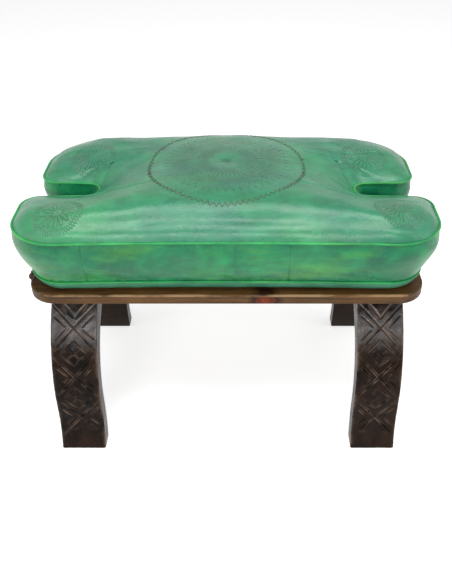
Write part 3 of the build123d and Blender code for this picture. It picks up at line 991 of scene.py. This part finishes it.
def inner_face(outer):
    """The inner point that faces each outer one: level with it on the shank, round the arch by an
    even share of the angle on the shoulder, and straight below it near the crest."""
    y, z = outer[:, 0], outer[:, 1]
    flare = heel_reach - inner_radius
    heel_radius = (flare**2 + heel_height**2) / (2 * flare)
    drop = np.clip(heel_height - z, 0, heel_height)
    shank_y = -inner_radius - heel_radius + np.sqrt(heel_radius**2 - drop**2)
    along = travelled(y, z)
    first = int(np.argmax(z > springing))
    last = int(np.argmax(y > -60))
    share = np.clip((along - along[first]) / (along[last] - along[first]), 0, 1)
    end_turn = np.arccos(-60 / inner_radius)
    turn = pi + (end_turn - pi) * share
    arch_y = np.where(y > -60, y, inner_radius * np.cos(turn))
    arch_z = springing + np.sqrt(np.maximum(inner_radius**2 - arch_y**2, 0))
    on_shank = z <= springing
    return np.column_stack([np.where(on_shank, shank_y, arch_y), np.where(on_shank, z, arch_z)])


leg_outer = outer_face()
leg_inner = inner_face(leg_outer)
leg_along = travelled(leg_outer[:, 0], leg_outer[:, 1])
print("leg's outer face:", len(leg_outer), "points,", leg_along[-1].round(1), "mm long")

# %% [markdown]
# ## Gouged pattern
#
# The outer face is carved by hand with a V gouge: crosses whose arms run to the edges and so make
# diamonds, smaller diamonds inside them, arrowheads at the sides and two broad cuts at the top.
# A stroke is a straight line with a width that dies away to its ends. Its depth falls off from the
# middle like a V. The strokes are laid out by a rule, and each is then moved a little, as a hand would.

# %% Strokes of the gouge
crossings = (60, 136, 212)
cross_reach = (33, 37.5)


def gouge_strokes(seed):
    """Rows of start, end, half width and depth, across the face and up it, in millimetres."""
    rows = []
    for s in crossings:
        reach_x, reach_s = cross_reach
        rows += [(-reach_x, s - reach_s, reach_x, s + reach_s, 1.9, 1.5),
                 (reach_x, s - reach_s, -reach_x, s + reach_s, 1.9, 1.5)]
        rows += [(-29, s + 18, -11, s + 1, 1.7, 1.3), (-11, s - 1, -29, s - 19, 1.5, 1.2),
                 (30, s + 21, 12, s + 1, 1.7, 1.3), (12, s - 1, 30, s - 18, 1.5, 1.2)]
    for s in crossings[:-1]:
        c = s + (crossings[1] - crossings[0]) / 2
        rows += [(0, c + 20, -21, c, 1.4, 1.1), (-21, c, 0, c - 21, 1.4, 1.1),
                 (0, c - 21, 21, c, 1.4, 1.1), (21, c, 0, c + 20, 1.4, 1.1),
                 (-10, c + 9, 11, c - 10, 1.2, 0.9), (9, c + 8, -9, c - 8, 1.2, 0.9),
                 (-3, c + 12, -14, c + 1, 1.0, 0.7), (3, c - 13, 13, c - 3, 1.0, 0.7)]
    top_cross = crossings[-1]
    rows += [(-17, top_cross + 37, 0, top_cross + 14, 2.9, 2.1),
             (21, top_cross + 39, 1, top_cross + 14, 2.9, 2.1)]
    rows += [(-5, 39, -22, 27, 1.3, 0.8), (6, 42, 24, 26, 1.3, 0.8)]
    rows = np.array(rows, float) * np.array([1, 1, 1, 1, 1.1, 1.35])
    hand = np.random.default_rng(seed)
    rows[:, :4] += hand.normal(0, 0.7, (len(rows), 4))
    rows[:, 4:] *= 1 + hand.normal(0, 0.1, (len(rows), 2))
    return rows


def gouged(across, up, rows):
    """Depth of the carving: the deepest of all strokes, each a V whose width dies to its ends."""
    depth = 0 * across
    for x0, s0, x1, s1, half, deep in rows:
        run = np.array([x1 - x0, s1 - s0])
        length = np.hypot(*run)
        run = run / length
        t = ((across - x0) * run[0] + (up - s0) * run[1]) / length
        off = np.abs((across - x0) * run[1] - (up - s0) * run[0])
        ends = np.sqrt(np.clip(4 * t * (1 - t), 0, 1)) ** 0.7
        depth = np.maximum(depth, deep * ends * np.clip(1 - off / (half * np.maximum(ends, 0.01)), 0, 1))
    return depth


# %% [markdown]
# ## Four legs
#
# A leg's section is a rectangle with rounded corners, given by shares across and through it. The same
# shares at every place along the leg make one closed grid. The carving is cut in along the outer face's
# own direction, and the finish reads from each point how deep it is cut and how near a rim it lies.

# %% Four legs
face_columns, edge_columns, side_count, inner_count = 92, 3, 7, 12
foot_inset = 1.6
carved_length = 290


def section_places(face, edge, side_n, inner_n):
    """Round the section once: which share across (-1 to 1), which share of the depth (0 inside to
    1 outside) and the direction of each rounded corner, as cosines."""
    bend = np.linspace(0, pi / 2, edge + 1)
    rows = []
    u = np.linspace(-1, 1, face + 1)[1:-1]
    rows += [(-1, 1, -cos(q), sin(q)) for q in bend]
    rows += [(v, 1, 0, 1) for v in u]
    rows += [(1, 1, sin(q), cos(q)) for q in bend]
    rows += [(1, v, 1, 0) for v in np.linspace(1, 0, side_n + 1)[1:-1]]
    rows += [(1, 0, cos(q), -sin(q)) for q in bend]
    rows += [(v, 0, 0, -1) for v in np.linspace(1, -1, inner_n + 1)[1:-1]]
    rows += [(-1, 0, -sin(q), -cos(q)) for q in bend]
    rows += [(-1, v, -1, 0) for v in np.linspace(0, 1, side_n + 1)[1:-1]]
    return np.array(rows)


def leg(name, side_sign, end_sign, seed):
    """One leg: its section's places, put between the inner and the outer point of each ring, with
    rounded edges, the carving cut in along the outer face's own direction, and the lap's step."""
    places = section_places(face_columns, edge_columns, side_count, inner_count)
    share_x, share_b, corner_x, corner_b = places.T
    step = int(np.argmax(leg_outer[:, 0] > -half_lap))
    order = np.concatenate([np.arange(step), [step], np.arange(step, len(leg_outer))])
    outer, inner, up = leg_outer[order], leg_inner[order], leg_along[order]
    halved = np.arange(len(order)) > step
    kept = -side_sign * end_sign
    gap = joint_gap / 2
    low = np.where(halved & (kept > 0), gap, -leg_width / 2)
    high = np.where(halved & (kept < 0), -gap, leg_width / 2)
    chance = ripples(up, 0 * up, 22, seed) + 0.7 * ripples(up, 0 * up, 6, seed + 1)
    radius = 1.2 + 0.5 * np.clip(chance, 0, 2)
    radius = np.where(up > 300, 1.0, radius)
    inset = foot_inset * (1 - smoothstep(up, 0, 2.2))
    low, high = low + inset, high - inset
    reach = outer - inner
    depth = np.linalg.norm(reach, axis=1)
    reach = reach / depth[:, None]
    inner = inner + reach * inset[:, None]
    depth = depth - 2 * inset
    r = radius[:, None]
    middle, half = (low + high) / 2, (high - low) / 2
    x = middle[:, None] + share_x * (half[:, None] - r * (np.abs(share_x) == 1))
    x = x + corner_x * r * (corner_x != 0)
    x = np.where((np.abs(share_x) < 1), middle[:, None] + share_x * (half[:, None] - r), x)
    b = share_b * depth[:, None] + r * (1 - 2 * share_b) + corner_b * r
    b = np.where((share_b > 0) & (share_b < 1), r + share_b * (depth[:, None] - 2 * r), b)
    tangent = np.gradient(outer, axis=0)
    tangent /= np.maximum(np.linalg.norm(tangent, axis=1, keepdims=True), 1e-9)
    outward = np.column_stack([-tangent[:, 1], tangent[:, 0]])
    face = (share_b == 1) & (corner_b > 0.3)
    spread_up = np.broadcast_to(up[:, None], x.shape)
    cut = gouged(x, spread_up, gouge_strokes(seed)) * face * (up < carved_length)[:, None]
    tool = 0.22 * ripples(x, spread_up, 20, seed + 5) * face * (up < carved_length)[:, None]
    y = inner[:, 0:1] + reach[:, 0:1] * b - outward[:, 0:1] * (cut - tool)
    z = inner[:, 1:2] + reach[:, 1:2] * b - outward[:, 1:2] * (cut - tool)
    z = np.maximum(z, 0)
    grid = np.stack([side_sign * (arch_span - leg_width) / 2 + x, -end_sign * y, z], axis=-1)
    near_edge = np.exp(-((leg_width / 2 - np.abs(x)) / 1.6)) * face
    # A band just outside each cut, which the finish paints pale as a highlight and as wear.
    wide = gouged(x, spread_up, gouge_strokes(seed) * np.array([1, 1, 1, 1, 1.4, 1.0]))
    rim_glint_and_wear = np.clip(wide * face - cut, 0, 1) * (up < carved_length)[:, None]
    sawn = np.broadcast_to(1.0 - face, x.shape)
    piece = surface(name, grid, close_columns=True, cap_first=True, cap_last=True, flip=end_sign < 0,
                    sharp=32, attributes={"cut": np.clip(cut / 0.9, 0, 1), "rim_glint_and_wear": rim_glint_and_wear,
                                          "edge": near_edge, "sawn": sawn,
                                          "polish": smoothstep(z, 165, 228) * face})
    return piece


legs = {
    "leg_front_left": leg("carved_leg_front_left", -1, -1, 101),
    "leg_front_right": leg("carved_leg_front_right", 1, -1, 202),
    "leg_rear_left": leg("carved_leg_rear_left", -1, 1, 303),
    "leg_rear_right": leg("carved_leg_rear_right", 1, 1, 404),
}
for node, piece in legs.items():
    made = np.array([v[:] for v in piece.bound_box]) / MM
    solid = np.array(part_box(node)) / MM
    print(node, "made", made.min(0).round(1), made.max(0).round(1), "solid", solid.round(1).tolist())

# %% [markdown]
# ## Stamped medallions
#
# Before it was sewn, the top was stamped with a large sunburst in the middle and a small flower on
# each of the four lobes. The lines are finer than any grid of points could hold, so they are worked
# out in the finish itself, from each place's distance and direction seen from the nearest centre. A
# zigzag is a triangle wave of the direction. Zigzags of opposite phase cross and make diamonds, and
# each petal is a closed loop along its own ray. The lines press into the bump and darken the dye.

# %% Stamped lines
lobe_places = {(-1, -1): (-222, -114), (1, -1): (232, -103), (-1, 1): (-204, 62), (1, 1): (207, 65)}


def polar(f, x, y):
    """Distance and direction of a place."""
    far = f.sum(f.sum(f.sum(x, x, "MULTIPLY"), f.sum(y, y, "MULTIPLY")), 0.5, "POWER")
    return far, f.sum(y, x, "ARCTAN2")


def stamped_line(f, away, half_width):
    """1 on a line's middle, 0 from its half width on."""
    near = f.sum(f.sum(away, 0.0, "ABSOLUTE"), 1 / half_width, "MULTIPLY")
    return f.sum(1.0, near, "SUBTRACT", clamped=True)


def zigzag(f, far, turn, middle, reach, points, half_width):
    """Two triangle waves of opposite phase round the middle radius. The gap to a wave is made
    smaller by its slope, so that the lines keep their width."""
    wave = f.sum(turn, points / pi, "MULTIPLY")
    wave = f.sum(f.sum(wave, 1.0, "PINGPONG"), 0.5, "SUBTRACT")
    slope = pi / (2 * reach * points)
    lines = 0.0
    for side in (-2, 2):
        line_at = f.sum(f.sum(wave, side * reach, "MULTIPLY"), float(middle))
        gap = f.sum(f.sum(far, line_at, "SUBTRACT"), f.sum(far, slope, "MULTIPLY"), "MULTIPLY")
        lines = f.sum(lines, stamped_line(f, gap, half_width), "MAXIMUM")
    return lines


def ray_gap(f, far, turn, count):
    """Distance to the nearest of this many rays."""
    share = f.sum(f.sum(turn, count / (2 * pi), "MULTIPLY"), 0.5, "PINGPONG")
    return f.sum(f.sum(share, 2 * pi / count, "MULTIPLY"), far, "MULTIPLY")


def within(f, value, low, high):
    """1 where a value lies between two limits."""
    above = f.sum(value, float(low), "GREATER_THAN")
    return f.sum(above, f.sum(value, float(high), "LESS_THAN"), "MULTIPLY")


def sunburst(f, x, y, radius):
    """Bands of diamonds whose outer points make a star, rays within them and a small star inside."""
    far, turn = polar(f, x, y)
    lines = zigzag(f, far, turn, 0.66 * radius, 0.15 * radius, 26, 1.1)
    for middle, reach in ((0.54, 0.15), (0.34, 0.10)):
        lines = f.sum(lines, zigzag(f, far, turn, middle * radius, reach * radius, 26, 1.0), "MAXIMUM")
    rays = stamped_line(f, ray_gap(f, far, turn, 52), 0.85)
    rays = f.sum(rays, within(f, far, 0.30 * radius, 0.62 * radius), "MULTIPLY")
    return f.sum(lines, rays, "MAXIMUM")


def flower(f, x, y):
    """Sixteen petals round a centre, and a ring of fine zigzags outside them."""
    far, turn = polar(f, x, y)
    along = f.sum(f.sum(far, 15.5, "SUBTRACT"), 1 / 8.5, "MULTIPLY")
    round_end = f.sum(1.0, f.sum(along, along, "MULTIPLY"), "SUBTRACT", clamped=True)
    half = f.sum(f.sum(round_end, 0.5, "POWER"), 2.3, "MULTIPLY")
    petals = stamped_line(f, f.sum(ray_gap(f, far, turn, 16), half, "SUBTRACT"), 1.2)
    petals = f.sum(petals, within(f, far, 6.5, 24.5), "MULTIPLY")
    ring = zigzag(f, far, turn, 30.5, 4.0, 26, 1.0)
    return f.sum(petals, f.sum(ring, 0.75, "MULTIPLY"), "MAXIMUM")


def stamped(f):
    """All five medallions, from 0 to 1. The signs of x and y choose the lobe's centre."""
    parts = f.add("ShaderNodeSeparateXYZ", i0=f.place)
    x, y = (f.sum(parts.outputs[k], 1 / MM, "MULTIPLY") for k in (0, 1))
    side_x, side_y = f.sum(x, 0.0, "SIGN"), f.sum(y, 0.0, "SIGN")
    both = f.sum(side_x, side_y, "MULTIPLY")
    shifted = []
    for axis, place in ((0, x), (1, y)):
        centre = 0.0
        for weight, sign in ((1.0, None), (side_x, 0), (side_y, 1), (both, 2)):
            signs = [1 if sign is None else (a * b if sign == 2 else (a, b)[sign]) for a, b in lobe_places]
            share = sum(v[axis] * k for v, k in zip(lobe_places.values(), signs)) / 4
            centre = f.sum(centre, f.sum(weight, share, "MULTIPLY"))
        shifted.append(f.sum(place, centre, "SUBTRACT"))
    lines = f.sum(sunburst(f, x, y, ring_radius), flower(f, *shifted), "MAXIMUM")
    worn = f.ramp(f.noise(26, 3, 0.6), (0.35, 0.5), (0.55, 1.0))
    return f.sum(lines, worn, "MULTIPLY")


# %% [markdown]
# ## Dyed leather
#
# The leather is dyed by hand, so its green wanders from bluish to yellowish in soft clouds, with
# finer mottling in them. Stamped lines are darker, and worn high places are paler. A fine grain and
# some creases go into the bump. The shine is broad and low, as on waxed leather.

# %% Leather


def leather(name, base, deep, warm, pale, cloud=7.0, contrast=1.0, rough=0.27, shine=0.35,
            medallions=False):
    """Dyed leather: clouds of a deeper and a warmer tone, rubbed pale spots, creases and fine grain."""
    f = Finish(name)
    clouds = f.ramp(f.noise(cloud, 5, 0.6, twist=0.6), (0.38, 0.0), (0.62, 1.0))
    colour = f.mix(clouds, deep, base)
    warm_place = f.stretched(0.55, 1.3, 2.4)
    warm_clouds = f.ramp(f.noise(cloud * 0.8, 4, 0.6, place=warm_place), (0.5, 0.0), (0.72, 0.8 * contrast))
    colour = f.mix(warm_clouds, colour, warm)
    mottle = f.ramp(f.noise(52, 6, 0.68, place=f.stretched(0.6, 1.0, 1.6)), (0.32, 0.74), (0.68, 1.16))
    colour = f.mix(1.0, colour, mottle, "MULTIPLY")
    rubbed = f.ramp(f.noise(15, 6, 0.7, place=f.stretched(1.0, 2.2, 1.0)), (0.52, 0.0), (0.8, 0.3))
    colour = f.mix(rubbed, colour, pale)
    cells = f.add("ShaderNodeTexVoronoi", {"feature": "DISTANCE_TO_EDGE"}, Vector=f.place, Scale=620.0)
    grain = f.ramp(cells.outputs[0], (0.0, 0.0), (0.12, 1.0))
    crease = f.ramp(f.noise(150, 5, 0.7, twist=1.5), (0.44, 1.0), (0.5, 0.0), (0.56, 1.0))
    normal = f.bump(f.noise(40, 5, 0.5), 0.0012, 0.25)
    normal = f.bump(crease, 0.0002, 0.25, normal)
    normal = f.bump(grain, 0.00008, 0.35, normal)
    if medallions:
        pressed = stamped(f)
        colour = f.mix(f.sum(pressed, 0.7, "MULTIPLY"), colour, tuple(c * 0.3 for c in deep))
        normal = f.bump(f.sum(1.0, pressed, "SUBTRACT"), 0.0006, 0.8, normal)
    dull = f.ramp(f.noise(22, 5, 0.6), (0.35, rough - 0.07), (0.7, rough + 0.12))
    f.finish(colour, dull, normal)
    f.put(f.shader, "Specular IOR Level", shine)
    return f.material


green, deep_green = srgb(26, 140, 84), srgb(8, 104, 72)
yellow_green, pale_green = srgb(84, 162, 58), srgb(100, 174, 138)
top_leather = leather("leather_top", srgb(32, 131, 87), srgb(18, 112, 84), srgb(56, 140, 76), pale_green,
                      contrast=0.8, shine=0.6, medallions=True)
strip_leather = leather("leather_strip", green, deep_green, yellow_green, srgb(78, 166, 104), cloud=13.0)
piping_leather = leather("leather_piping", srgb(36, 156, 80), srgb(20, 132, 70), srgb(72, 172, 78),
                         srgb(92, 192, 110), cloud=18.0, rough=0.36)
under_leather = leather("leather_underside", srgb(60, 130, 98), srgb(48, 112, 86), srgb(78, 142, 92),
                        srgb(100, 148, 122), rough=0.5)
knot_leather = leather("leather_thong", srgb(66, 44, 34), srgb(44, 30, 24), srgb(84, 56, 40),
                       srgb(120, 92, 72))
thread = Finish("waxed_thread")
thread_tone = thread.ramp(thread.noise(300), (0.4, 0.0), (0.6, 1.0))
thread.finish(thread.mix(thread_tone, srgb(52, 58, 42), srgb(84, 62, 46)), 0.6)

# %% [markdown]
# ## Stained and sawn wood
#
# The carved faces are stained nearly black, and rubbed to a shine at the top. Painted shade darkens
# the gouge's cuts, and their rims get a pale edge that is painted highlight and partly wear. The boards
# are a warmer brown with grain along their length, a knot in the front edge, and pale wear along the upper
# edge.

# %% Wood
knot_place = (0.055, -0.131, 0.268)


def wood(name, base, dark, light, grain_stretch, rough=0.4, shine=0.5):
    """Long fibres, fine pores and clouds of stain, with the same pores pressed into the bump."""
    f = Finish(name)
    lines = f.noise(1.0, 5, 0.6, place=f.stretched(*grain_stretch), twist=0.4)
    colour = f.mix(f.ramp(lines, (0.38, 0.0), (0.6, 1.0)), dark, base)
    fine = tuple(6 * v for v in grain_stretch)
    pores = f.ramp(f.noise(1.0, 3, 0.7, place=f.stretched(*fine)), (0.4, 0.62), (0.62, 1.12))
    colour = f.mix(1.0, colour, pores, "MULTIPLY")
    cloud = f.ramp(f.noise(11, 4, 0.6), (0.4, 0.0), (0.75, 0.6))
    colour = f.mix(cloud, colour, light)
    normal = f.bump(pores, 0.0004, 0.4, f.bump(lines, 0.0006, 0.3))
    dull = f.ramp(f.noise(30, 4, 0.6), (0.3, rough - 0.06), (0.7, rough + 0.14))
    f.put(f.shader, "Specular IOR Level", shine)
    return f, colour, normal, dull


def carved_finish():
    """Stained wood, greyer where it is only sawn, with painted shade in the cuts and a pale rim beside them
    that is painted highlight and partly wear.
    """
    dark = srgb(16, 10, 7)
    f, colour, normal, dull = wood("wood_carved", srgb(34, 22, 15), dark, srgb(54, 36, 26),
                                   (60, 60, 7), 0.25, 0.16)
    colour = f.mix(f.sum(f.attribute("sawn"), 0.5, "MULTIPLY"), colour, srgb(60, 50, 43))
    # Painted shade: the colour is darkened in the gouge's cuts, by how deep each point is cut.
    colour = f.mix(f.sum(f.attribute("cut"), 0.92, "MULTIPLY"), colour, tuple(0.25 * c for c in dark))
    patchy = f.ramp(f.noise(45, 4, 0.6), (0.42, 0.0), (0.6, 1.0))
    # Painted highlight and wear: the rims of the cuts are painted pale; the face's side edges are paler with
    # wear.
    rim_glints_and_wear = f.sum(f.sum(f.attribute("rim_glint_and_wear"), patchy, "MULTIPLY"), 0.85, "MULTIPLY")
    edges = f.sum(f.sum(f.attribute("edge"), patchy, "MULTIPLY"), 0.5, "MULTIPLY")
    colour = f.mix(f.sum(rim_glints_and_wear, edges, "MAXIMUM"), colour, srgb(158, 132, 114))
    dull = f.mix(f.attribute("cut"), dull, (0.7, 0.7, 0.7))
    f.put(f.shader, "Specular IOR Level", f.sum(f.sum(f.attribute("polish"), 0.75, "MULTIPLY"), 0.08))
    return f.finish(colour, dull, normal)


def board_finish():
    """Brown boards with a reddish knot, whose dark rings crowd round its middle."""
    f, colour, normal, dull = wood("wood_boards", srgb(98, 67, 34), srgb(44, 29, 16), srgb(116, 82, 44),
                                   (3.5, 75, 110), 0.42, 0.2)
    away = f.add("ShaderNodeMapping", i0=f.place, i1=tuple(-v for v in knot_place)).outputs[0]
    away = f.add("ShaderNodeVectorMath", {"operation": "MULTIPLY"}, i0=away, i1=(0.75, 0.5, 1.3)).outputs[0]
    far = f.add("ShaderNodeVectorMath", {"operation": "LENGTH"}, i0=away).outputs["Value"]
    far = f.sum(far, f.sum(f.noise(90, 3, 0.6), 0.006, "MULTIPLY"))
    rings = f.ramp(f.sum(f.sum(far, 1100.0, "MULTIPLY"), 0.0, "SINE"), (0.2, 0.6), (0.8, 1.0))
    knot = f.mix(1.0, f.ramp(far, (0.009, srgb(124, 52, 18)), (0.015, srgb(46, 24, 12))), rings, "MULTIPLY")
    colour = f.mix(f.ramp(far, (0.016, 1.0), (0.023, 0.0)), colour, knot)
    parts = f.add("ShaderNodeSeparateXYZ", i0=f.place)
    low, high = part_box("side_board_front")
    edge = f.sum(within(f, parts.outputs[1], low[1] - 0.001, low[1] + 0.0025),
                 within(f, parts.outputs[2], high[2] - 0.003, high[2] + 0.001), "MULTIPLY")
    worn = f.ramp(f.noise(50, 4, 0.6, place=f.stretched(0.4, 1.0, 1.0)), (0.4, 0.0), (0.6, 0.75))
    colour = f.mix(f.sum(edge, worn, "MULTIPLY"), colour, srgb(164, 132, 96))
    return f.finish(colour, dull, normal)


def peg_finish():
    """Plain brown wood with its fibres along the peg."""
    f, colour, normal, dull = wood("wood_pegs", srgb(84, 60, 46), srgb(58, 42, 33), srgb(100, 76, 60),
                                   (8, 60, 60), 0.45)
    return f.finish(colour, dull, normal)


carved_wood, peg_wood, board_wood = carved_finish(), peg_finish(), board_finish()
steel = Finish("zinc_plate")
steel_tone = steel.ramp(steel.noise(400), (0.3, (0.35, 0.34, 0.32)), (0.7, (0.55, 0.54, 0.5)))
steel.finish(steel_tone, 0.35)
steel.put(steel.shader, "Metallic", 1.0)

# %% [markdown]
# ## Putting it together
#
# Each new piece rides on the body that carries it, stands for the solids that it replaces, and gets
# its finish. The boards, pegs and screws of the solid model already have the right shape, so they
# stay and only change their material.

# %% Bodies, replaced solids and finishes


def dress(piece, body, material, slot, *nodes):
    """Give a piece its finish, the body it rides on and the solids that it replaces. The slot is not used."""
    piece.data.materials.append(material)
    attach(piece, body)
    if nodes:
        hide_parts(*nodes)


for node, piece in legs.items():
    dress(piece, "frame", carved_wood, "carved_wood", node)
dress(cushion_top, "cushion", top_leather, "green_leather", "top_panel", "stuffing")
for piece, node in ((cushion_front, "boxing_front"), (cushion_right, "boxing_right"),
                    (cushion_rear, "boxing_rear"), (cushion_left, "boxing_left")):
    dress(piece, "cushion", strip_leather, "green_leather", node)
dress(cushion_under, "cushion", under_leather, "green_leather", "bottom_panel")
dress(upper_piping, "cushion", piping_leather, "piping_leather", "upper_piping")
dress(lower_piping, "cushion", piping_leather, "piping_leather", "lower_piping")
dress(stitches, "cushion", thread.material, "thong_leather")
dress(knot, "cushion", knot_leather, "thong_leather", "thong_knot")
dress(stem, "cushion", knot_leather, "thong_leather")

kept_nodes = {"side_board_front": board_wood, "side_board_rear": board_wood,
              "crest_pegs": peg_wood, "board_screws": steel.material}
for node, finish in kept_nodes.items():
    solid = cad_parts[node]
    solid = bpy.data.objects[solid] if isinstance(solid, str) else solid
    solid.data.materials.clear()
    solid.data.materials.append(finish)
